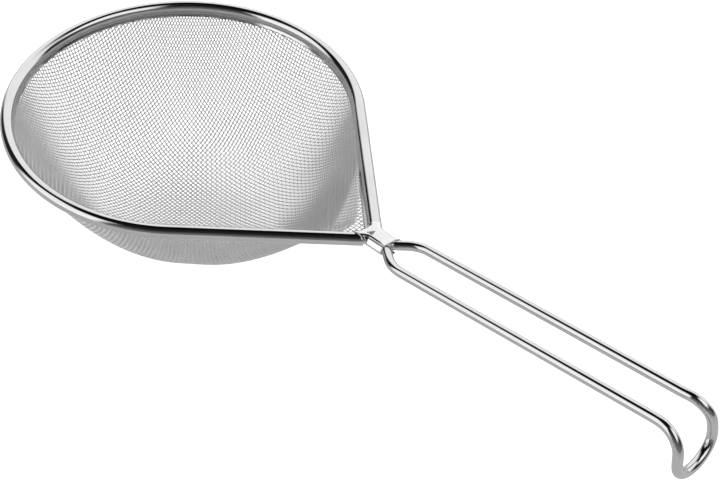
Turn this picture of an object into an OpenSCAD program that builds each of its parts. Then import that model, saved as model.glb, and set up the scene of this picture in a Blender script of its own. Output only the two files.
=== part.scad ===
// Tea strainer: a woven steel bowl in a drop-shaped rim, with a two-rod wire handle that
// ends in a hook. The rim's plane is z = 0, the origin is the centre of the rim's round
// part, the handle points along +X and the bowl hangs below.

/* [Rim] */
// Centreline radius of the round part of the rim
rim_r = 40; // [38:0.5:42]
// Distance from the rim's centre to where the two straight sides would meet
neck_x = 59.3; // [58:0.1:61]
// Outside diameter of the rolled bead
bead_d = 3.0; // [2.9:0.05:3.2]
// Distance from the bead's centre to the free edge of its two lips
lip_reach = 2.4; // [2.3:0.1:3]
// Inward slant of the lips from the vertical, in degrees
lip_slant = 25; // [15:1:30]
// Thickness of the rim's sheet
sheet_t = 0.38; // [0.34:0.01:0.38]

/* [Mesh] */
// Thickness of the woven mesh, two wires thick
mesh_t = 0.5; // [0.4:0.05:0.55]
// Depth of the bowl below the lips
bowl_depth = 31.2; // [26:0.2:33]
// Roundness of the bowl's profile at the back, where 2 is a parabola and more is fuller
bowl_power = 2.5; // [2.2:0.05:3.2]
// The same towards the neck
neck_power = 2.35; // [2:0.05:2.8]
// Slope of the mesh where it leaves the lips at the neck
neck_slope = 1.4; // [0.8:0.05:1.6]
// How far the deepest point lies towards the handle
bowl_shift = -1.6; // [-3:0.2:3]
// Radius of the bowl's foot line on the side of the neck
foot_tip_r = 29.9; // [24:0.1:32]

/* [Handle] */
// Diameter of the wire
wire_d = 2.2; // [2.1:0.02:2.2]
// Distance between the two rods, centre to centre
rod_gap = 9; // [8:0.25:10]
// Length of the straight rods
rod_len = 63.8; // [40:0.2:90]
// Rise of the handle above the rim's plane, in degrees
handle_rise = 6.3; // [0:0.1:12]
// Angle at which the rods leave the collar, in degrees
flare_angle = 38; // [34:1:42]

/* [Hook] */
// Centreline radius of the bend at the end of the handle
hook_r = 5.3; // [4:0.1:8]
// Angle of that bend, in degrees
hook_angle = 85; // [60:1:110]
// Outward slant of the two bends, in degrees
hook_slant = 11; // [4:1:14]
// Length of the straight ends below the bend
hook_drop = 2.3; // [1:0.1:4]

/* [Collar] */
// Length of the closed part of the collar behind the neck
collar_len = 4.6; // [4:0.1:5]
// Thickness of the collar's sheet
collar_t = 0.36; // [0.32:0.02:0.5]

/* [Hidden] */
$fn = 48;
fit_gap = 0.02;
cut_over = 1;
joint_len = 0.2;
joint_grow = 0.008;
wire_r = wire_d / 2;
bead_r = bead_d / 2;
bore_r = bead_r - sheet_t;

// The straight sides touch the rim's circle at plus and minus side_angle.
side_angle = acos(rim_r / neck_x);
half_angle = 90 - side_angle;
side_len = sqrt(neck_x * neck_x - rim_r * rim_r);

// Route of one half of the wire, from the rim's circle to the tip of the hook.
pair_y = wire_r + fit_gap;
neck_bend_r = 3;
side_run = side_len - pair_y / sin(half_angle) - neck_bend_r * tan(half_angle / 2);
pair_x = neck_x - pair_y / tan(half_angle) + neck_bend_r * tan(half_angle / 2);
pair_run = 2.1;
rise_r = 5;
rear_run = 0.3;
flare_in_r = 2.5;
flare_out_r = 8;
flare_bends = (flare_in_r + flare_out_r) * (1 - cos(flare_angle));
flare_run = (rod_gap / 2 - pair_y - flare_bends) / sin(flare_angle);
hook_y = rod_gap / 2 + hook_r * (1 - cos(hook_angle)) * sin(hook_slant)
    + hook_drop * sin(hook_angle) * sin(hook_slant);
hook_splay = asin(sin(hook_slant) * sin(hook_angle));
hook_roll = atan2(-cos(hook_slant), -sin(hook_slant) * cos(hook_angle));
tip_r = 9;
tip_angle = 25;
corner_r = (hook_y - tip_r * sin(tip_angle)) / (cos(hook_splay) - sin(tip_angle));
corner_angle = 90 - tip_angle + hook_splay;

// Each step is a roll about the heading, then a bend of a radius and angle or a straight run.
ROLL = 0;
RADIUS = 1;
ANGLE = 2;
RUN = 3;
half_route = [
    [0, 0, 0, side_run],
    [0, neck_bend_r, half_angle, 0],
    [0, 0, 0, pair_run],
    [90, rise_r, handle_rise, 0],
    [-90, 0, 0, rear_run],
    [0, flare_in_r, flare_angle, 0],
    [0, 0, 0, flare_run],
    [180, flare_out_r, flare_angle, 0],
    [0, 0, 0, rod_len],
    [90 + hook_slant, hook_r, hook_angle, 0],
    [0, 0, 0, hook_drop],
    [hook_roll, corner_r, corner_angle, 0],
    [0, tip_r, tip_angle, 0]
];

// The mesh: its edge sits in the slot between the lips.
edge_drop = 0.15;
edge_reach = lip_reach + edge_drop;
hidden_reach = 1.35;
edge_r = rim_r - edge_reach * sin(lip_slant);
edge_z = -edge_reach * cos(lip_slant);
edge_tip_r = 1.2;
rays = 96;
rings = 14;
neck_reach_angle = 80;
blend_slope = 2.3;
crease_w = 4;
neck_wall = 14;
blend_min = 0.05;

// The collar: a sleeve on each side, a plate across the top and a flat tube behind the neck.
plate_z = bead_r + collar_t;
plate_sink = 0.1;
plate_lap = 0.6;
plate_front_y = 2.4;
plate_rear_y = 1.4;
plate_hollow_r = 4;
sleeve_x = neck_x - 2.9;
sleeve_short = 0.6;
collar_x = pair_x - 0.3;
seam_w = 0.3;
seam_angle = 20;
seam_over = 2;
seam_h = 4;
dart_x = pair_x - 0.1;
dart = [[-1.6, -1.2], [-0.6, 0.3], [-0.2, -1.05]];

function roll_matrix(a) = [[1, 0, 0, 0], [0, cos(a), -sin(a), 0], [0, sin(a), cos(a), 0], [0, 0, 0, 1]];

function bend_matrix(r, a) =
    [[cos(a), -sin(a), 0, r * sin(a)], [sin(a), cos(a), 0, r * (1 - cos(a))], [0, 0, 1, 0], [0, 0, 0, 1]];

function run_matrix(run) = [[1, 0, 0, run], [0, 1, 0, 0], [0, 0, 1, 0], [0, 0, 0, 1]];

function step_matrix(step) =
    roll_matrix(step[ROLL]) * (step[ANGLE] > 0 ? bend_matrix(step[RADIUS], step[ANGLE])
                                               : run_matrix(step[RUN]));

// Where step i of a route starts.
function route_frame(route, i) =
    i == 0 ? roll_matrix(0) : route_frame(route, i - 1) * step_matrix(route[i - 1]);

module wire_step(step, r) {
    rotate([step[ROLL], 0, 0])
        if (step[ANGLE] > 0)
            translate([0, step[RADIUS], 0]) rotate([0, 0, -90]) rotate_extrude(angle = step[ANGLE])
                translate([step[RADIUS], 0]) circle(r);
        else
            rotate([0, 90, 0]) cylinder(h = step[RUN], r = r);
}

// A short disc, a hair larger than the wire, closes each joint between two steps.
module wire_run(route, r) {
    for (i = [0 : len(route) - 1]) multmatrix(route_frame(route, i)) {
        wire_step(route[i], r);
        rotate([0, 90, 0]) cylinder(h = joint_len, r = r + joint_grow, center = true);
    }
    multmatrix(route_frame(route, len(route))) rotate([0, 90, 0])
        cylinder(h = joint_len, r = r + joint_grow, center = true);
}

// Places its children at the start of one straight side, heading along +X to the neck.
module at_side() {
    rotate([0, 0, side_angle]) translate([rim_r, 0, 0]) rotate([0, 0, -90]) children();
}

module both_sides() {
    children();
    mirror([0, 1, 0]) children();
}

module ring_part() {
    rotate([0, 0, side_angle]) rotate_extrude(angle = 360 - 2 * side_angle) translate([rim_r, 0])
        children();
}

module side_part(length) {
    rotate([0, 0, side_angle]) translate([rim_r, 0, 0]) rotate([90, 0, 0]) linear_extrude(length)
        children();
}

module lips(width, reach) {
    rotate(-lip_slant) translate([-width / 2, -reach]) square([width, reach]);
}

// A short length of the rim's section across the joint of the round part and a side.
module side_joint() {
    rotate([0, 0, side_angle]) translate([rim_r, 0, 0]) rotate([90, 0, 0])
        linear_extrude(joint_len, center = true) children();
}

// The rim's section: a bead rolled round the wire, and two lips with the mesh between them.
module bead_outline(grow = 0) {
    circle(bead_r + grow);
    lips(mesh_t + 2 * (sheet_t + fit_gap + grow), lip_reach + grow);
}

module bead_section(grow = 0) {
    difference() {
        bead_outline(grow);
        circle(bore_r - grow);
        lips(mesh_t + 2 * (fit_gap - grow), lip_reach + cut_over);
    }
}

module frame_wire() {
    color("silver") {
        ring_part() circle(wire_r);
        both_sides() at_side() wire_run(half_route, wire_r);
    }
}

module rim_band() {
    color("lightgray") {
        ring_part() bead_section();
        both_sides() {
            side_part(side_run) bead_section();
            side_joint() bead_section(joint_grow);
        }
    }
}

// Distance from [px, 0] along direction a to the far side of a circle centred at [cx, 0].
function ray_circle(px, cx, r, a) =
    (cx - px) * cos(a) + sqrt(max(0, r * r - pow((cx - px) * sin(a), 2)));

// The same to a drop: a circle of radius r at the origin, its tangents and a rounded tip.
function ray_drop(px, r, tip, a) =
    let (lean = cos(a - side_angle),
         run = (r - px * cos(side_angle)) / max(lean, 0.01),
         hit = px + run * cos(a),
         tip_x = (r - tip) / cos(side_angle))
    lean < 0.05 || hit < r * cos(side_angle) ? ray_circle(px, 0, r, a)
    : hit < tip_x + tip * cos(side_angle) ? run
    : ray_circle(px, tip_x, tip, a);

function smooth_min(p, q, k) =
    let (h = max(0, min(1, 0.5 + 0.5 * (q - p) / k))) q + (p - q) * h - k * h * (1 - h);

// How far a point lies inside the mesh's edge.
function inset(x, y) =
    atan2(abs(y), x) < side_angle
        ? edge_r - x * cos(side_angle) - abs(y) * sin(side_angle)
        : edge_r - norm([x, y]);

// How much a direction from the bowl's middle leans towards the neck, from 0 to 1.
function neck_share(a) = 0.5 + 0.5 * cos(180 * min(1, a / neck_reach_angle));

function mix(p, q, share) = p + (q - p) * share;

// Height of the mesh: a round bowl, with a steep wall of its own near the neck.
function bowl_z(a, s) =
    let (reach = s * ray_drop(bowl_shift, edge_r, edge_tip_r, a),
         part = reach / ray_drop(bowl_shift, edge_r, foot_tip_r, a),
         x = bowl_shift + reach * cos(a),
         y = reach * sin(a),
         power = mix(bowl_power, neck_power, neck_share(a)),
         bowl = bowl_depth * (part < 1 ? pow(part, power) - 1 : power * (part - 1)),
         soft = max(0, inset(x, norm([y, crease_w]))),
         wall = -neck_slope * neck_share(a) * soft * exp(-pow(soft / neck_wall, 2)),
         blend = max(blend_min, min(rim_r, blend_slope * soft)))
    edge_z + smooth_min(bowl, wall, blend);

function ring_point(i, s) =
    let (t = 360 * i / rays, a = t > 180 ? 360 - t : t,
         reach = s * ray_drop(bowl_shift, edge_r, edge_tip_r, a))
    [bowl_shift + reach * cos(t), reach * sin(t), bowl_z(a, s)];

// The last ring goes up into the slot, outwards by the lips' slant.
function slot_point(i) =
    let (p = ring_point(i, 1), d = ring_point(i + 1, 1) - ring_point(i - 1, 1),
         out = [d[1], -d[0], 0] / norm([d[0], d[1]]))
    p + (edge_reach - hidden_reach) * (out * sin(lip_slant) + [0, 0, cos(lip_slant)]);

// The rings lie closer together towards the edge.
function skin_point(j, i) = j > rings ? slot_point(i) : ring_point(i, sin(90 * j / rings));

function skin_normal(j, i) =
    let (along = skin_point(j, i + 1) - skin_point(j, i - 1),
         across = skin_point(min(j + 1, rings + 1), i) - skin_point(max(j - 1, 1), i),
         n = cross(across, along))
    n / norm(n);

function skin(offset) = [
    for (j = [1 : rings + 1]) for (i = [0 : rays - 1])
        skin_point(j, i) + offset * skin_normal(j, i)
];

// Triangles between neighbouring rings of one skin, whose first ring starts at point base.
function skin_faces(base, flip) = [
    for (j = [0 : rings - 1]) for (i = [0 : rays - 1])
        let (a = base + j * rays + i, b = base + j * rays + (i + 1) % rays)
        for (f = [[a, b, b + rays], [a, b + rays, a + rays]]) flip ? [f[2], f[1], f[0]] : f
];

module mesh_bowl() {
    half = mesh_t / 2;
    under = skin(-half);
    upper = skin(half);
    count = len(under);
    pole = [bowl_shift, 0, bowl_z(0, 0)];
    under_pole = 2 * count;
    upper_pole = under_pole + 1;
    last = rings * rays;
    caps = [for (i = [0 : rays - 1]) let (k = (i + 1) % rays)
        for (f = [[under_pole, i, k], [upper_pole, count + k, count + i]]) f];
    edge = [for (i = [0 : rays - 1]) let (k = (i + 1) % rays)
        for (f = [[count + last + i, count + last + k, last + k],
                  [count + last + i, last + k, last + i]]) f];
    color("gainsboro") polyhedron(
        points = concat(under, upper, [pole - [0, 0, half], pole + [0, 0, half]]),
        faces = concat(skin_faces(0, true), skin_faces(count, false), caps, edge),
        convexity = 4);
}

module flat_tube(r) {
    for (y = [-pair_y, pair_y]) translate([y, 0]) circle(r);
    square([2 * pair_y, 2 * r], center = true);
}

module neck_collar() {
    sleeve_s = (neck_x - sleeve_x) / cos(half_angle);
    color("whitesmoke") difference() {
        union() {
            translate([collar_x, 0, 0]) rotate([90, 0, 90]) linear_extrude(collar_len)
                flat_tube(pair_y + collar_t);
            both_sides() at_side() translate([side_len - sleeve_s, 0, 0]) rotate([0, 90, 0])
                cylinder(h = sleeve_s - sleeve_short, r = plate_z);
            web_plate();
        }
        both_sides() side_part(side_run + fit_gap) bead_outline(fit_gap);
        both_sides() at_side() wire_run([for (i = [0 : 7]) half_route[i]], wire_r + joint_grow);
        seam_cut();
        translate([dart_x, 0, 0]) linear_extrude(plate_z + cut_over) polygon(dart);
    }
}

// Plate between the two sleeves, with a hollow front edge.
module web_plate() {
    front_x = sleeve_x - plate_lap;
    rear_x = collar_x + plate_lap;
    translate([0, 0, bead_r - plate_sink]) linear_extrude(collar_t + plate_sink) difference() {
        polygon([[front_x, -plate_front_y], [rear_x, -plate_rear_y],
                 [rear_x, plate_rear_y], [front_x, plate_front_y]]);
        translate([sleeve_x - plate_hollow_r, 0]) circle(plate_hollow_r);
    }
}

// The open seam between the plate's edge and the roll round the nearer wire.
module seam_cut() {
    translate([collar_x - seam_over, -pair_y, 0]) rotate([seam_angle, 0, 0])
        translate([0, -seam_w / 2, 0]) cube([collar_len + 2 * seam_over, seam_w, seam_h]);
}

frame_wire();
rim_band();
mesh_bowl();
neck_collar();
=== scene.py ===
"""Tea strainer: a polished steel wire, a rolled rim, a woven bowl and a pressed neck collar."""
import math

import bpy
import numpy as np
from mathutils import Matrix, Vector


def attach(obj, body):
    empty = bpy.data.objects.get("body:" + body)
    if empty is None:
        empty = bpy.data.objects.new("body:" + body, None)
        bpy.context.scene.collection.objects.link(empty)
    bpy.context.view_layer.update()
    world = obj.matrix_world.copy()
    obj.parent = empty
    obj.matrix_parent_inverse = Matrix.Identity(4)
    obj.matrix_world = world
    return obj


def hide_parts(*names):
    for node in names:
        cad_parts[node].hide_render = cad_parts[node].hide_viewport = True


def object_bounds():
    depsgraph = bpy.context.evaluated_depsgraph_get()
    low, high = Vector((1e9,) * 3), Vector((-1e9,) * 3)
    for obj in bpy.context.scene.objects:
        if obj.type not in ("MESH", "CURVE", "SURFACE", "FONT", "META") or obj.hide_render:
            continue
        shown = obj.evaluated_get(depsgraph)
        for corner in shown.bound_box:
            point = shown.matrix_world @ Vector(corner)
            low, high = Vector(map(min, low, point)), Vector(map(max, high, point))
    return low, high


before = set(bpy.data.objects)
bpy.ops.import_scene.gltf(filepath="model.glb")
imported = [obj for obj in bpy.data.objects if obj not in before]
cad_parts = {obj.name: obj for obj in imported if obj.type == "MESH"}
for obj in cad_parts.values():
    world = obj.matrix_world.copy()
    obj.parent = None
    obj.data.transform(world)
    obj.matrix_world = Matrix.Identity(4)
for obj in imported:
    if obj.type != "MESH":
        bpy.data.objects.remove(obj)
cad_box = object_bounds()
MM = 0.001

# ---- sizes shared by the pieces, in millimetres ---------------------------------------------
# The rim is a circle of radius RIM_R whose two tangents would meet at NECK_X.
RIM_R = 40.0
NECK_X = 59.3
BEAD_R = 1.48
WIRE_R = 1.1
SHEET = 0.3
LIP_REACH = 2.35
FIT_GAP = 0.02

SIDE_A = math.acos(RIM_R / NECK_X)
HALF_A = math.pi / 2 - SIDE_A
SIDE_LEN = math.sqrt(NECK_X ** 2 - RIM_R ** 2)
PAIR_Y = WIRE_R + FIT_GAP
NECK_BEND = 3.0
SIDE_RUN = SIDE_LEN - PAIR_Y / math.sin(HALF_A) - NECK_BEND * math.tan(HALF_A / 2)
MIRROR = [1, -1, 1]


# ---- camera ---------------------------------------------------------------------------------
def make_camera():
    """A long lens that looks down on the bowl from the side, turned a little about its axis."""
    azimuth, elevation, roll = 0.6962, 0.7701, 0.0696
    distance, target = 328.83, Vector((57.0, -2.744, 0.0))
    back = Vector((math.sin(azimuth) * math.cos(elevation),
                   -math.cos(azimuth) * math.cos(elevation), math.sin(elevation)))
    right = Vector((math.cos(azimuth), math.sin(azimuth), 0.0))
    up = back.cross(right)
    across = math.cos(roll) * right + math.sin(roll) * up
    above = -math.sin(roll) * right + math.cos(roll) * up
    place = Matrix((across, above, back)).transposed().to_4x4()
    place.translation = (target + back * distance) * MM
    data = bpy.data.cameras.new("camera")
    data.sensor_width = 36.0
    data.lens = 78.02
    data.clip_start = 0.01
    camera = bpy.data.objects.new("camera", data)
    bpy.context.scene.collection.objects.link(camera)
    camera.matrix_world = place
    bpy.context.scene.camera = camera


# ---- meshes ---------------------------------------------------------------------------------
def add_piece(name, points, faces, material, node):
    """A piece from points in millimetres. It rides on the root body and stands for a CAD node."""
    mesh = bpy.data.meshes.new(name)
    mesh.from_pydata((np.asarray(points, float) * MM).tolist(), [], [tuple(f) for f in faces])
    mesh.polygons.foreach_set("use_smooth", [True] * len(mesh.polygons))
    mesh.materials.append(material)
    mesh.validate()
    piece = bpy.data.objects.new(name, mesh)
    bpy.context.scene.collection.objects.link(piece)
    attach(piece, "root")
    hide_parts(node)
    return piece


def unit(v):
    """Vectors scaled to length 1."""
    v = np.asarray(v, float)
    return v / np.linalg.norm(v, axis=-1, keepdims=True)


def smooth(k):
    """A soft step from 0 to 1."""
    return k * k * (3 - 2 * k)


def rings(path, radius, sides, first, second):
    """A ring of points round each point of a path, in the plane of two directions."""
    turn = np.linspace(0, 2 * math.pi, sides, endpoint=False)[None, :, None]
    ring = np.cos(turn) * first[:, None] + np.sin(turn) * second[:, None]
    return (path[:, None] + radius * ring).reshape(-1, 3)


def capped_faces(rows, columns):
    """The faces of a bar made of rings, with its two ends closed."""
    faces = grid_faces(rows, columns).tolist()
    faces.append(list(range(columns))[::-1])
    faces.append([(rows - 1) * columns + k for k in range(columns)])
    return faces


def grid_faces(rows, columns, base=0):
    """Quads between neighbouring rows of closed rings."""
    a = np.arange(columns)
    b = (a + 1) % columns
    out = []
    for r in range(rows - 1):
        p, q = base + r * columns, base + (r + 1) * columns
        out.append(np.stack([p + a, p + b, q + b, q + a], 1))
    return np.concatenate(out)


def sweep_normals(path, normal):
    """Two normals along a path that turn as little as possible."""
    along = unit(np.gradient(path, axis=0))
    first = np.asarray(normal, float)
    sides = []
    for t in along:
        first = unit(first - t * np.dot(first, t))
        sides.append(first)
    sides = np.array(sides)
    return sides, np.cross(along, sides)


def tube(path, radius, sides):
    """Points and faces of a round bar along a path."""
    points = rings(path, radius, sides, *sweep_normals(path, (0, 0, 1)))
    return points, capped_faces(len(path), sides)


# ---- the wire -------------------------------------------------------------------------------
# The wire runs beside the rim, comes together, rises and flares into two rods ROD_Y from the
# middle. At HOOK_X it bends down while the pair widens to HOOK_Y, and closes in a U. RISE_A and
# FLARE_A are in degrees, as the steps of the route are, and the other angles in radians.
ROD_Y = 4.5
RISE_A = 6.3
RISE_R = 5.0
PAIR_RUN = 2.1
REAR_RUN = 0.3
FLARE_A = 38.0
FLARE_IN_R = 2.5
FLARE_OUT_R = 8.0
HOOK_X = 133.4
HOOK_R = 5.3
HOOK_Y = 5.9
HOOK_TURN = math.radians(85)
HOOK_DROP = 2.6
HOOK_WIDEN = 1.5
HOOK_LOOP = 0.7 * HOOK_Y
BUTT_A = math.radians(172)
BUTT_GAP = 0.004


def rotation(axis, angle):
    """A turn about one axis, as a matrix."""
    return np.array(Matrix.Rotation(angle, 3, axis))


def half_route(steps, spacing=0.25):
    """Points of one half of the wire: rolls, bends and straight runs from the rim to the hook."""
    turn = rotation("Z", SIDE_A - math.pi / 2)
    place = np.array([RIM_R * math.cos(SIDE_A), RIM_R * math.sin(SIDE_A), 0.0])
    points = [place]
    for roll, radius, angle, run in steps:
        turn = turn @ rotation("X", math.radians(roll))
        length = radius * math.radians(angle) if angle else run
        count = max(1, int(round(length / spacing)))
        for k in range(1, count + 1):
            s = length * k / count
            if angle:
                a = s / radius
                points.append(place + turn @ np.array([radius * math.sin(a),
                                                       radius * (1 - math.cos(a)), 0.0]))
            else:
                points.append(place + turn @ np.array([s, 0.0, 0.0]))
        place = points[-1]
        if angle:
            turn = turn @ rotation("Z", math.radians(angle))
    return np.array(points)


def route_steps():
    """The run beside the rim, the neck, the rise and the flare: roll, radius, angle, run."""
    flare = math.radians(FLARE_A)
    bends = (FLARE_IN_R + FLARE_OUT_R) * (1 - math.cos(flare))
    flare_run = (ROD_Y - PAIR_Y - bends) / math.sin(flare)
    return [(0, 0, 0, SIDE_RUN),
            (0, NECK_BEND, math.degrees(HALF_A), 0),
            (0, 0, 0, PAIR_RUN),
            (90, RISE_R, RISE_A, 0),
            (-90, 0, 0, REAR_RUN),
            (0, FLARE_IN_R, FLARE_A, 0),
            (0, 0, 0, flare_run),
            (180, FLARE_OUT_R, FLARE_A, 0)]


def hook_half(start, spacing=0.25):
    """A rod from its start to the hook, the bend down as the pair widens, and half of the U."""
    rise = math.radians(RISE_A)
    rod = np.arange(start[0] + spacing, HOOK_X, spacing)
    x, z = list(rod), list(start[2] + (rod - start[0]) * math.tan(rise))
    angle = rise
    for length, turn in ((HOOK_R * HOOK_TURN, HOOK_TURN), (HOOK_DROP, 0.0)):
        count = int(round(length / spacing))
        for _ in range(count):
            angle -= turn / count / 2
            x.append(x[-1] + length / count * math.cos(angle))
            z.append(z[-1] + length / count * math.sin(angle))
            angle -= turn / count / 2
    x, z = np.array(x), np.array(z)
    run = np.concatenate([[0], np.cumsum(np.hypot(np.diff(x), np.diff(z)))])
    widen_from = HOOK_X - HOOK_WIDEN - x[0]
    wide = np.clip((run - widen_from) / (run[-1] - widen_from), 0, 1)
    y = ROD_Y + (HOOK_Y - ROD_Y) * smooth(wide)
    turn = np.linspace(0, math.pi / 2, 34)[1:]
    drop = HOOK_LOOP * np.sin(turn)
    loop = np.stack([x[-1] + drop * math.cos(angle), HOOK_Y * np.cos(turn),
                     z[-1] + drop * math.sin(angle)], 1)
    return np.concatenate([np.stack([x, y, z], 1), loop])


def ease(path, rounds=3):
    """Softens the changes of curvature, as in a wire bent round pins."""
    for _ in range(rounds):
        path = path.copy()
        path[1:-1] = 0.25 * path[:-2] + 0.5 * path[1:-1] + 0.25 * path[2:]
    return path


def wire_path():
    """The whole wire, from one end inside the back of the rim to the other."""
    half = half_route(route_steps())
    half = np.concatenate([half, hook_half(half[-1])])
    other = half[::-1] * MIRROR
    arc = np.linspace(SIDE_A, 2 * math.pi - SIDE_A, 1000)
    ring = np.stack([RIM_R * np.cos(arc), RIM_R * np.sin(arc), 0 * arc], 1)
    first = ring[arc < BUTT_A][::-1]
    last = ring[arc > BUTT_A + BUTT_GAP][::-1]
    return ease(np.concatenate([first[:-1], half, other[1:], last[1:]]))


def make_wire(material):
    """The whole wire as one round bar."""
    points, faces = tube(wire_path(), WIRE_R, 32)
    return add_piece("bent_wire", points, faces, material, "frame_wire")


# ---- the rim --------------------------------------------------------------------------------
# The lips slant LIP_SLANT degrees. From LEAN_START along each side they lie over by up to
# LIP_LEAN degrees more. The cloth's edge sits in a slot of twice HALF_SLOT between them.
LIP_SLANT = 25
LIP_LEAN = 39
LEAN_START = 4
HALF_SLOT = 0.27


def rim_line(steps_round=360, steps_side=64):
    """Centreline of the bead from one neck end to the other, with its inward directions."""
    arc = np.linspace(SIDE_A, 2 * math.pi - SIDE_A, steps_round)
    ring = np.stack([RIM_R * np.cos(arc), RIM_R * np.sin(arc), 0 * arc], 1)
    ring_in = -unit(ring)
    s = np.linspace(0, SIDE_RUN, steps_side)[1:]
    heading = np.array([math.sin(SIDE_A), -math.cos(SIDE_A), 0.0])
    side = ring[0] + s[:, None] * heading
    side_in = np.repeat(ring_in[:1], len(s), 0)
    line = np.concatenate([side[::-1], ring, side * MIRROR])
    inward = np.concatenate([side_in[::-1], ring_in, side_in * MIRROR])
    run = np.concatenate([s[::-1], 0 * arc, s])
    return line, inward, run


def lip_slant(run):
    """The lips slant inwards on the round part and lie over further at the neck."""
    k = np.clip((np.asarray(run, float) - LEAN_START) / (SIDE_RUN - LEAN_START), 0, 1)
    return np.radians(LIP_SLANT + LIP_LEAN * smooth(k))


def rim_section():
    """Closed outline of the rolled sheet: bead outside, lips, slot and bore."""
    outer = HALF_SLOT + SHEET
    bore = BEAD_R - SHEET
    start = math.asin(outer / BEAD_R)
    turn = np.linspace(start, 2 * math.pi - start, 56)
    bead = np.stack([BEAD_R * np.sin(turn), -BEAD_R * np.cos(turn)], 1)
    tip = np.linspace(0, math.pi, 7)
    mid, half = HALF_SLOT + SHEET / 2, SHEET / 2
    left = np.stack([-mid - half * np.cos(tip), -LIP_REACH + half - half * np.sin(tip)], 1)
    stop = math.asin(HALF_SLOT / bore)
    inner_turn = np.linspace(2 * math.pi - stop, stop, 40)
    inner = np.stack([bore * np.sin(inner_turn), -bore * np.cos(inner_turn)], 1)
    right = np.stack([mid - half * np.cos(tip), -LIP_REACH + half - half * np.sin(tip)], 1)
    bead_end, lip_end, slot_end = -1.5, -2.3, -1.4
    lip_out = np.array([[-outer, y] for y in np.linspace(bead_end, lip_end, 4)])
    lip_in = lip_out[::-1] * [-1, 1]
    slot_l = np.array([[-HALF_SLOT, y] for y in np.linspace(lip_end, slot_end, 3)])
    slot_r = slot_l[::-1] * [-1, 1]
    return np.concatenate([bead, lip_out, left, slot_l, inner, slot_r, right, lip_in])


def make_rim(material):
    """The section swept along the rim, tilted about the bead by the lips' slant."""
    line, inward, run = rim_line()
    section = rim_section()
    slant = lip_slant(run)
    up = np.array([0.0, 0.0, 1.0])
    rows = []
    for place, into, a in zip(line, inward, slant):
        n = section[:, 0] * math.cos(a) - section[:, 1] * math.sin(a)
        z = section[:, 0] * math.sin(a) + section[:, 1] * math.cos(a)
        rows.append(place + n[:, None] * into + z[:, None] * up)
    faces = capped_faces(len(rows), len(section))
    return add_piece("rolled_rim", np.concatenate(rows), faces, material, "rim_band")


# ---- the mesh -------------------------------------------------------------------------------
# The bowl sinks from a foot line just inside the rim. Towards the neck its wall slopes more, and
# BLEND rounds the corner between the two. The cloth's edge sits EDGE_BACK short of the lips'
# free edges, and its wires run TUCK further, out of sight.
PITCH = 0.87
STRAND_R = 0.13
EDGE_BACK = 0.15
TUCK = 0.12
BOWL_SHIFT = -1.6
BOWL_DEPTH = 31.5
POWER_BACK, POWER_NECK = 2.5, 2.35
FOOT_R = 38.85
FOOT_TIP_R = 29.9
BLEND, BLEND_MIN = 2.3, 0.05
NECK_SLOPE, NECK_WALL = 1.4, 14.0
NECK_SPREAD = 1.4
CREASE = 4
STEP_LIMIT = 0.4 * PITCH
TRIANGLE_LIMIT = 190000


def inset(x, y):
    """How far a point lies inside the bead's centreline."""
    y = np.abs(y)
    on_side = np.arctan2(y, x) < SIDE_A
    return np.where(on_side, RIM_R - x * math.cos(SIDE_A) - y * math.sin(SIDE_A),
                    RIM_R - np.hypot(x, y))


def side_run(x, y):
    """How far along a straight side a point lies."""
    return np.clip(x * math.sin(SIDE_A) - np.abs(y) * math.cos(SIDE_A), 0, SIDE_RUN)


def foot_radius(x, y):
    """Distance from the bowl's middle to its foot line, in the direction of a point."""
    dx, dy = x - BOWL_SHIFT, np.abs(y)
    far = np.maximum(np.hypot(dx, dy), 1e-9)
    ux, uy = dx / far, dy / far
    b = BOWL_SHIFT * ux
    ring = -b + np.sqrt(np.maximum(b * b + FOOT_R ** 2 - BOWL_SHIFT ** 2, 0))
    lean = np.maximum(ux * math.cos(SIDE_A) + uy * math.sin(SIDE_A), 1e-6)
    side = (FOOT_R - BOWL_SHIFT * math.cos(SIDE_A)) / lean
    hit = BOWL_SHIFT + side * ux
    tip_x = (FOOT_R - FOOT_TIP_R) / math.cos(SIDE_A)
    b = (BOWL_SHIFT - tip_x) * ux
    tip = -b + np.sqrt(np.maximum(b * b + FOOT_TIP_R ** 2 - (BOWL_SHIFT - tip_x) ** 2, 0))
    on_ring = (hit < FOOT_R * math.cos(SIDE_A)) | (lean < 1e-5)
    on_side = hit < tip_x + FOOT_TIP_R * math.cos(SIDE_A)
    return np.where(on_ring, ring, np.where(on_side, side, tip))


def cloth_height(x, y):
    """Height of the cloth's middle: the lower of the bowl and the neck's wall, blended."""
    run = side_run(x, y)
    slant = lip_slant(run)
    edge_z = -(LIP_REACH - EDGE_BACK) * np.cos(slant)
    edge_in = (LIP_REACH - EDGE_BACK) * np.sin(slant)
    depth_in = inset(x, y) - edge_in
    dx = x - BOWL_SHIFT
    reach = np.hypot(dx, y) / foot_radius(x, y)
    neck = 0.5 + 0.5 * np.cos(math.pi * np.clip(np.arctan2(np.abs(y), dx) / NECK_SPREAD, 0, 1))
    power = POWER_BACK + (POWER_NECK - POWER_BACK) * neck
    inner, outer = np.clip(reach, 0, 2) ** power - 1, power * (reach - 1)
    bowl = BOWL_DEPTH * np.where(reach < 1, inner, outer)
    soft_in = np.maximum(inset(x, np.hypot(y, CREASE)) - edge_in, 0)
    wall = -NECK_SLOPE * neck * soft_in * np.exp(-(soft_in / NECK_WALL) ** 2)
    k = np.clip(BLEND * soft_in, BLEND_MIN, RIM_R)
    h = np.clip(0.5 + 0.5 * (wall - bowl) / k, 0, 1)
    blend = wall + (bowl - wall) * h - k * h * (1 - h)
    rise = np.maximum(-depth_in, 0) / np.tan(slant)
    return edge_z + np.where(depth_in > 0, blend, rise)


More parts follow.
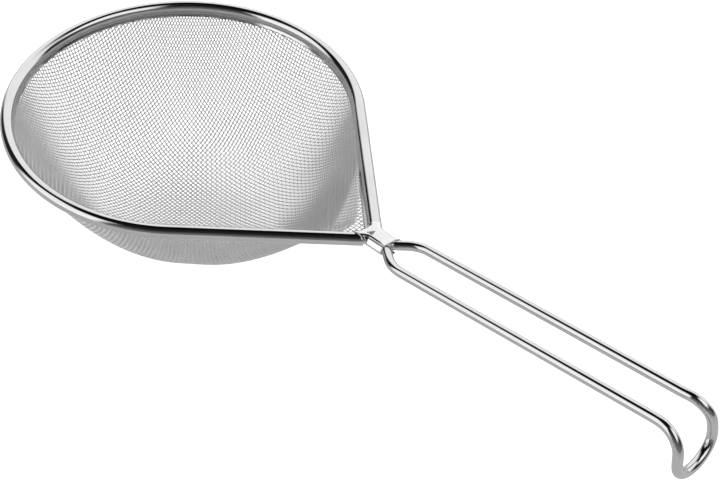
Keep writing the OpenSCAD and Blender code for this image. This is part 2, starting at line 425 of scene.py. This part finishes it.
def march(start, heading, count):
    """Points a pitch apart on the cloth, along a straight line in plan."""
    out = [np.array(start, float)]
    for _ in range(count):
        low, high = 0.0, PITCH
        for _ in range(30):
            mid = (low + high) / 2
            q = out[-1][:2] + mid * np.array(heading)
            z = float(cloth_height(q[:1], q[1:])[0])
            if mid * mid + (z - out[-1][2]) ** 2 < PITCH ** 2:
                low = mid
            else:
                high = mid
        out.append(np.array([q[0], q[1], z]))
    return out


def woven_net(before, after, wide):
    """Crossings of the cloth's wires, each a pitch from the last as the cloth shears."""
    net = np.full((before + after + 1, wide + 1, 3), np.nan)
    middle = [BOWL_SHIFT, 0.0, float(cloth_height(np.array([BOWL_SHIFT]), np.array([0.0]))[0])]
    for sign, count in ((1, after), (-1, before)):
        for k, p in enumerate(march(middle, (sign, 0), count)):
            net[before + sign * k, 0] = p
    for k, p in enumerate(march(middle, (0, 1), wide)):
        net[before, k] = p
    step = 1e-3
    for sign, count in ((1, after), (-1, before)):
        for s in range(2, count + wide + 1):
            i = np.arange(max(1, s - wide), min(count, s - 1) + 1)
            j = s - i
            here, back = before + sign * i, before + sign * (i - 1)
            a, b, o = net[back, j], net[here, j - 1], net[back, j - 1]
            q = (a + b - o)[:, :2].copy()
            # Newton's method moves each crossing to a pitch from its two neighbours, a and b.
            for _ in range(6):
                z = cloth_height(q[:, 0], q[:, 1])
                zx = (cloth_height(q[:, 0] + step, q[:, 1]) - z) / step
                zy = (cloth_height(q[:, 0], q[:, 1] + step) - z) / step
                p = np.column_stack([q, z])
                da, db = p - a, p - b
                fa = (da ** 2).sum(1) - PITCH ** 2
                fb = (db ** 2).sum(1) - PITCH ** 2
                a1, a2 = 2 * (da[:, 0] + da[:, 2] * zx), 2 * (da[:, 1] + da[:, 2] * zy)
                b1, b2 = 2 * (db[:, 0] + db[:, 2] * zx), 2 * (db[:, 1] + db[:, 2] * zy)
                det = a1 * b2 - a2 * b1
                det = np.where(np.abs(det) < 1e-6, 1e-6, det)
                move = np.stack([(a2 * fb - b2 * fa) / det, (b1 * fa - a1 * fb) / det], 1)
                size = np.maximum(1, np.hypot(*move.T) / STEP_LIMIT)
                q += move / size[:, None]
            net[here, j] = np.column_stack([q, cloth_height(q[:, 0], q[:, 1])])
    return np.concatenate([net[:, :0:-1] * MIRROR, net], 1)


def cloth_normals(net):
    """The cloth's upward normals at its crossings."""
    x, y = net[..., 0], net[..., 1]
    step = 0.05
    zx = (cloth_height(x + step, y) - cloth_height(x - step, y)) / (2 * step)
    zy = (cloth_height(x, y + step) - cloth_height(x, y - step)) / (2 * step)
    return unit(np.stack([-zx, -zy, np.ones_like(zx)], -1))


def strand(points, normals, phase, per=4):
    """Centreline and normals of one crimped wire, cut to the rim, or None if it misses the bowl."""
    count = len(points)
    t = np.arange((count - 1) * per + 1) / per
    i = np.minimum(t.astype(int), count - 2)
    f = (t - i)[:, None]
    line = points[i] * (1 - f) + points[i + 1] * f
    normal = unit(normals[i] * (1 - f) + normals[i + 1] * f)
    line = line + normal * (STRAND_R * np.cos(math.pi * (t + phase)))[:, None]
    x, y = line[:, 0], line[:, 1]
    edge_in = (LIP_REACH - EDGE_BACK) * np.sin(lip_slant(side_run(x, y)))
    inside = inset(x, y) > edge_in - TUCK
    change = np.flatnonzero(np.diff(np.concatenate([[0], inside, [0]])))
    if len(change) == 0:
        return None
    start, stop = max(zip(change[::2], change[1::2]), key=lambda run: run[1] - run[0])
    return (line[start:stop], normal[start:stop]) if stop - start > per else None


def strands_mesh(strands, sides):
    """Points and faces of many thin wires in one mesh."""
    points, faces, base = [], [], 0
    for line, normal in strands:
        along = unit(np.gradient(line, axis=0))
        n = unit(normal - along * (normal * along).sum(1, keepdims=True))
        points.append(rings(line, STRAND_R, sides, n, np.cross(along, n)))
        faces.append(grid_faces(len(line), sides, base))
        base += len(line) * sides
    return np.concatenate(points), np.concatenate(faces).tolist()


def make_cloth(material):
    """Both families of wires, each in bands of wires that keep a piece's mesh a fair size."""
    sides, before, after, wide = 6, 64, 96, 74
    net = woven_net(before, after, wide)
    normals = cloth_normals(net)
    families = {"warp": [strand(net[:, j], normals[:, j], j) for j in range(net.shape[1])],
                "weft": [strand(net[i], normals[i], i + 1) for i in range(net.shape[0])]}
    for family, strands in families.items():
        wires = [wire for wire in strands if wire]
        total = sum(len(line) for line, _ in wires)
        band_size = total / math.ceil(total * 2 * sides / TRIANGLE_LIMIT)
        bands, size = [[]], 0
        for wire in wires:
            if size >= band_size:
                bands.append([])
                size = 0
            bands[-1].append(wire)
            size += len(wire[0])
        for k, band in enumerate(bands):
            points, faces = strands_mesh(band, sides)
            add_piece(f"{family}_{k}", points, faces, material, "mesh_bowl")


# ---- the collar -----------------------------------------------------------------------------
# A sheet pressed round both wires: a plate across the top, a sleeve over the far one, and over
# the near one a cover, a narrow strap and a roll, with an open seam beside the plate.
COLLAR_SHEET = 0.3
ROLL_R = 1.37
ROLL_START = 58.55
SEAM_ANGLE = math.radians(20)
SEAM_GAP = 0.22
LEG_FROM, LEG_TO = 53, 66
TOP_R, TOP_FALL = 1.76, 0.27
FALL_FROM, FALL_RUN = 56.5, 6.5
FRONT_X, FRONT_BOW = 56.6, 0.05
REAR_X, REAR_SKEW = 62.95, 0.16
TONGUE_Y, TONGUE_HALF, TONGUE_END = 0.3, 0.6, 63.9
TONGUE_LOW, TONGUE_HIGH = -1.4, -1.15
SLEEVE_LAP, SLEEVE_INNER = 1.0, math.radians(100)
STRAP_LAP, STRAP_SWEEP, STRAP_W = 2.5, 3.05, 0.8
SWEEP_FROM, SWEEP_TURN, SWEEP_END = -0.77, 1.92, 1.25
COVER_INNER, STRAP_INNER = 0.9, 1.2
FACET_A, FACET_R = math.radians(62), 1.25
DART = [(57.38, -1.26), (58.88, -1.03), (58.43, 0.24)]
DART_FROM_Z = 0.9
RIM_OVER = 0.05
# Where a bound of the sheet doesn't apply, it is this far inside and never cuts.
NO_LIMIT = -1.0


def both(*parts):
    """The overlap of fields that are below zero inside."""
    return np.maximum.reduce(np.broadcast_arrays(*parts))


def leg_path():
    """One wire near the collar: x, y, z and run of its points, and the run where the rim ends."""
    half = half_route(route_steps(), 0.1)
    half = half[(half[:, 0] > LEG_FROM) & (half[:, 0] < LEG_TO)]
    run = np.concatenate([[0], np.cumsum(np.linalg.norm(np.diff(half, axis=0), axis=1))])
    rim_end = (half_route(route_steps()[:1])[-1, 0] - half[0, 0]) / math.sin(SIDE_A)
    return (*half.T, run), rim_end


def leg_field(x, y, z, path, side):
    """Distance from a leg's centreline, angle round it from the top outwards, and its run."""
    path_x, path_y, path_z, path_run = path
    middle = np.interp(x, path_x, path_y)
    lean = np.interp(x, path_x, np.arctan(np.gradient(path_y, path_x)))
    off = (side * y - middle) * np.cos(lean)
    rise = z - np.interp(x, path_x, path_z)
    run = np.interp(x, path_x, path_run) + (side * y - middle) * np.sin(lean)
    return np.hypot(off, rise), np.arctan2(off, rise), run


def dart(x, y, z):
    """The small three-cornered opening where the plate's edge is folded."""
    sides = []
    for (ax, ay), (bx, by) in zip(DART, DART[1:] + DART[:1]):
        length = math.hypot(bx - ax, by - ay)
        sides.append(((by - ay) * (x - ax) - (bx - ax) * (y - ay)) / length)
    return both(*sides, DART_FROM_Z - z)


def collar_field(x, y, z):
    """Below zero inside the collar's sheet."""
    path, rim_end = leg_path()
    near, near_turn, near_run = leg_field(x, y, z, path, -1)
    far, far_turn, far_run = leg_field(x, y, z, path, 1)
    before_roll = x < ROLL_START
    behind_neck = ROLL_START - x
    rear = x - REAR_X - REAR_SKEW * y

    # The plate across the top, the web below it and the tongue that closes the web.
    top = TOP_R - TOP_FALL * np.clip((x - FALL_FROM) / FALL_RUN, 0, 1)
    front = FRONT_X - FRONT_BOW * (y - 1) ** 2 - x
    between = np.abs(y) - np.interp(x, path[0], path[1])
    level = np.interp(x, path[0], path[2])
    plate = both(between, z - level - top, level + top - COLLAR_SHEET - z, front, rear)
    under = both(between, level - top - z, z - level + top - COLLAR_SHEET, behind_neck, rear)
    tongue = both(np.abs(y - TONGUE_Y) - TONGUE_HALF, TONGUE_LOW - z, z - TONGUE_HIGH,
                  behind_neck, x - TONGUE_END)

    # The far leg: one sleeve, open on the inside until the roll starts.
    far_inner = np.where(before_roll, np.maximum(-far_turn - SLEEVE_INNER, NO_LIMIT), NO_LIMIT)
    far_sleeve = both(far - top, rim_end - SLEEVE_LAP - far_run, rear, far_inner)

    # The near leg: the strap's edge sweeps back as it turns over the bead.
    swept = np.clip((near_turn - SWEEP_FROM) / SWEEP_TURN, 0, SWEEP_END)
    edge = rim_end - STRAP_LAP + STRAP_SWEEP * swept - near_run
    facet = np.where(before_roll, NO_LIMIT, near * np.cos(near_turn - FACET_A) - FACET_R)
    skin = np.maximum(near - np.where(before_roll, top, ROLL_R), facet)
    cover = both(near - top, near_turn - SEAM_ANGLE, -near_turn - COVER_INNER, edge, rear)
    strap = both(skin, edge, -edge - STRAP_W, -near_turn - STRAP_INNER)
    seam = SEAM_GAP / 2 - np.abs(near_turn - SEAM_ANGLE - SEAM_GAP / 2)
    lip = np.where(np.abs(near_turn) < SEAM_ANGLE + SEAM_GAP, SEAM_ANGLE - near_turn, NO_LIMIT)
    roll = both(skin, behind_neck, rear, seam * ROLL_R, lip)

    solid = np.minimum.reduce([plate, under, tongue, far_sleeve, cover, strap, roll])
    in_rim = np.minimum(near_run, far_run) < rim_end + RIM_OVER
    bore = np.where(in_rim, BEAD_R, WIRE_R) + FIT_GAP
    return np.maximum.reduce([solid, bore - near, bore - far, -dart(x, y, z)])


def surface_net(field, low, high, step):
    """Quads of the zero surface of a field on a grid: a point in each cell that it crosses."""
    axes = [np.arange(a, b + step, step) for a, b in zip(low, high)]
    grid = np.meshgrid(*axes, indexing="ij")
    value = field(*grid)
    inside = value < 0
    shape = [n - 1 for n in value.shape]
    total, count = np.zeros(shape + [3]), np.zeros(shape)
    corner = [(a, b, c) for a in (0, 1) for b in (0, 1) for c in (0, 1)]
    cut = {c: tuple(slice(k, k + n) for k, n in zip(c, shape)) for c in corner}
    for a in corner:
        for axis in range(3):
            if a[axis]:
                continue
            b = tuple(v + (k == axis) for k, v in enumerate(a))
            va, vb = value[cut[a]], value[cut[b]]
            cross = inside[cut[a]] != inside[cut[b]]
            t = np.where(cross, va / np.where(cross, va - vb, 1), 0)
            for k in range(3):
                total[..., k] += np.where(cross, a[k] + (t if k == axis else 0), 0)
            count += cross
    used = count > 0
    index = np.full(shape, -1)
    index[used] = np.arange(used.sum())
    cell = np.argwhere(used)
    points = np.array(low) + step * (cell + total[used] / count[used][:, None])
    # One quad joins the four cells round each grid edge that the surface crosses.
    faces = []
    for axis in range(3):
        u, v = (axis + 1) % 3, (axis + 2) % 3
        near_cut = [slice(1, n) for n in shape]
        near_cut[axis] = slice(0, shape[axis])
        far_cut = list(near_cut)
        far_cut[axis] = slice(1, shape[axis] + 1)
        here, there = inside[tuple(near_cut)], inside[tuple(far_cut)]
        spot = np.argwhere(here != there)
        flip = here[here != there]
        spot += [int(k != axis) for k in range(3)]
        du, dv = np.eye(3, dtype=int)[u], np.eye(3, dtype=int)[v]
        ring = [spot - du - dv, spot - dv, spot, spot - du]
        quad = np.stack([index[tuple(r.T)] for r in ring], 1)
        quad[~flip] = quad[~flip][:, ::-1]
        faces.append(quad)
    return points, np.concatenate(faces).tolist()


def make_collar(material):
    """The collar's sheet, from its field."""
    low, high, step = (54.0, -5.0, -2.0), (64.6, 4.2, 2.0), 0.07
    points, faces = surface_net(collar_field, low, high, step)
    return add_piece("pressed_collar", points, faces, material, "neck_collar")


# ---- materials ------------------------------------------------------------------------------
def noise(tree, scale, detail):
    """Noise in the piece's own space."""
    place = tree.nodes.new("ShaderNodeTexCoord")
    node = tree.nodes.new("ShaderNodeTexNoise")
    node.inputs["Scale"].default_value = scale
    node.inputs["Detail"].default_value = detail
    tree.links.new(place.outputs["Object"], node.inputs["Vector"])
    return node.outputs["Fac"]


def spread(tree, value, low, high):
    """The middle of a noise's range, stretched between two values."""
    node = tree.nodes.new("ShaderNodeMapRange")
    node.inputs["From Min"].default_value = 0.3
    node.inputs["From Max"].default_value = 0.7
    node.inputs["To Min"].default_value = low
    node.inputs["To Max"].default_value = high
    tree.links.new(value, node.inputs["Value"])
    return node.outputs["Result"]


def steel(name, tint, rough, uneven, grain, bump):
    """Polished steel: slightly uneven roughness and tone, and a fine surface grain."""
    material = bpy.data.materials.new(name)
    material.use_nodes = True
    tree = material.node_tree
    shader = tree.nodes["Principled BSDF"]
    shader.inputs["Metallic"].default_value = 1.0
    cloud = noise(tree, 160, 4)
    tree.links.new(spread(tree, cloud, rough, rough + uneven), shader.inputs["Roughness"])
    shade = spread(tree, cloud, tint * 0.96, tint * 1.04)
    colour = tree.nodes.new("ShaderNodeCombineColor")
    for channel in ("Red", "Green", "Blue"):
        tree.links.new(shade, colour.inputs[channel])
    tree.links.new(colour.outputs["Color"], shader.inputs["Base Color"])
    relief = tree.nodes.new("ShaderNodeBump")
    relief.inputs["Strength"].default_value = bump
    relief.inputs["Distance"].default_value = 0.00002
    tree.links.new(noise(tree, grain, 6), relief.inputs["Height"])
    tree.links.new(relief.outputs["Normal"], shader.inputs["Normal"])
    return material


# ---- studio ---------------------------------------------------------------------------------
class Shade:
    """Builds number nodes for the studio's sky and floor."""

    def __init__(self, tree):
        self.tree = tree

    def math(self, kind, a, b=0.0):
        node = self.tree.nodes.new("ShaderNodeMath")
        node.operation = kind
        for socket, value in zip(node.inputs, (a, b)):
            if isinstance(value, (int, float)):
                socket.default_value = value
            else:
                self.tree.links.new(value, socket)
        return node.outputs[0]

    def ramp(self, value, low, high, start=0.0, end=1.0):
        node = self.tree.nodes.new("ShaderNodeMapRange")
        node.interpolation_type = "SMOOTHSTEP"
        self.tree.links.new(value, node.inputs["Value"])
        node.inputs["From Min"].default_value = low
        node.inputs["From Max"].default_value = high
        node.inputs["To Min"].default_value = start
        node.inputs["To Max"].default_value = end
        return node.outputs["Result"]

    def dot(self, vector, constant):
        node = self.tree.nodes.new("ShaderNodeVectorMath")
        node.operation = "DOT_PRODUCT"
        self.tree.links.new(vector, node.inputs[0])
        node.inputs[1].default_value = constant
        return node.outputs["Value"]


# Each soft light: azimuth of its middle, half its width, lower and upper elevation, softness of
# its edges, all in degrees, and its strength.
LIGHTS = [
    (115, 57, -90, 53, 6, 1.55),
    (-120, 28, -90, 51, 5, 1.65),
    (15, 38, 34, 72, 8, 1.70),
]
GROUND = -90
FRONT_A = math.radians(-50)
BACKDROP = 0.95


def make_sky():
    """A dim room, brighter low down in front, with soft lights. The camera sees a plain white."""
    world = bpy.data.worlds.new("studio")
    bpy.context.scene.world = world
    world.use_nodes = True
    tree = world.node_tree
    tree.nodes.clear()
    s = Shade(tree)
    place = tree.nodes.new("ShaderNodeTexCoord").outputs["Generated"]
    height = s.math("ARCSINE", s.dot(place, (0, 0, 1)))
    facing = s.dot(place, (math.cos(FRONT_A), math.sin(FRONT_A), 0))
    room = s.ramp(height, 0.0, 0.9, 0.30, 0.035)
    total = s.math("MULTIPLY", room, s.ramp(facing, -0.2, 0.9, 0.12, 1.0))
    for azimuth, wide, bottom, top, soft, power in LIGHTS:
        a = math.radians(azimuth)
        x = s.dot(place, (math.cos(a), math.sin(a), 0))
        y = s.dot(place, (-math.sin(a), math.cos(a), 0))
        off = s.math("ABSOLUTE", s.math("ARCTAN2", y, x))
        w, e = math.radians(wide), math.radians(soft)
        mask = s.ramp(off, w - e, w + e, 1.0, 0.0)
        mask = s.math("MULTIPLY", mask,
                      s.ramp(height, math.radians(top) - e, math.radians(top) + e, 1.0, 0.0))
        if bottom > GROUND:
            b = math.radians(bottom)
            mask = s.math("MULTIPLY", mask, s.ramp(height, b - e, b + e))
        total = s.math("ADD", total, s.math("MULTIPLY", mask, power))
    seen = tree.nodes.new("ShaderNodeLightPath").outputs["Is Camera Ray"]
    mix = tree.nodes.new("ShaderNodeMix")
    mix.data_type = "FLOAT"
    tree.links.new(seen, mix.inputs["Factor"])
    tree.links.new(total, mix.inputs["A"])
    mix.inputs["B"].default_value = BACKDROP
    lamp = tree.nodes.new("ShaderNodeBackground")
    tree.links.new(mix.outputs["Result"], lamp.inputs["Strength"])
    out = tree.nodes.new("ShaderNodeOutputWorld")
    tree.links.new(lamp.outputs[0], out.inputs["Surface"])


FLOOR_GLOW, FAR_GLOW, SEEN_GLOW = 0.18, 0.06, 0.75
GLOW_CENTRE, GLOW_FROM, GLOW_TO = 0.057, 0.13, 0.30
FLOOR_DROP = 0.0002


def make_floor(level):
    """A pale floor in metres that glows a little round the strainer and is white when seen."""
    side, cut = 1.6, 8
    row = cut + 1
    steps = np.linspace(-side, side, row)
    verts = [(x, y, level) for y in steps for x in steps]
    corners = [r * row + c for r in range(cut) for c in range(cut)]
    faces = [(k, k + 1, k + row + 1, k + row) for k in corners]
    mesh = bpy.data.meshes.new("floor")
    mesh.from_pydata(verts, [], faces)
    material = bpy.data.materials.new("pale_floor")
    material.use_nodes = True
    tree = material.node_tree
    shader = tree.nodes["Principled BSDF"]
    shader.inputs["Base Color"].default_value = (0.82, 0.82, 0.82, 1)
    shader.inputs["Roughness"].default_value = 0.9
    shader.inputs["Specular IOR Level"].default_value = 0.1
    shader.inputs["Emission Color"].default_value = (1, 1, 1, 1)
    s = Shade(tree)
    place = tree.nodes.new("ShaderNodeTexCoord").outputs["Object"]
    shift = tree.nodes.new("ShaderNodeVectorMath")
    shift.operation = "DISTANCE"
    tree.links.new(place, shift.inputs[0])
    shift.inputs[1].default_value = (GLOW_CENTRE, 0, level)
    glow = s.ramp(shift.outputs["Value"], GLOW_FROM, GLOW_TO, FLOOR_GLOW, FAR_GLOW)
    seen = tree.nodes.new("ShaderNodeLightPath").outputs["Is Camera Ray"]
    tree.links.new(s.math("ADD", glow, s.math("MULTIPLY", seen, SEEN_GLOW)),
                   shader.inputs["Emission Strength"])
    mesh.materials.append(material)
    floor = bpy.data.objects.new("floor", mesh)
    bpy.context.scene.collection.objects.link(floor)


make_camera()
make_sky()
wire_steel = steel("wire_steel_look", 0.62, 0.05, 0.05, 2500, 0.15)
rim_steel = steel("rim_steel_look", 0.62, 0.06, 0.06, 2500, 0.2)
mesh_steel = steel("mesh_steel_look", 0.8, 0.38, 0.1, 4000, 0.2)
collar_steel = steel("collar_steel_look", 0.74, 0.1, 0.1, 2000, 0.3)
make_wire(wire_steel)
make_rim(rim_steel)
make_cloth(mesh_steel)
make_collar(collar_steel)
make_floor(cad_box[0][2] - FLOOR_DROP)
bpy.context.scene.view_settings.view_transform = "Standard"
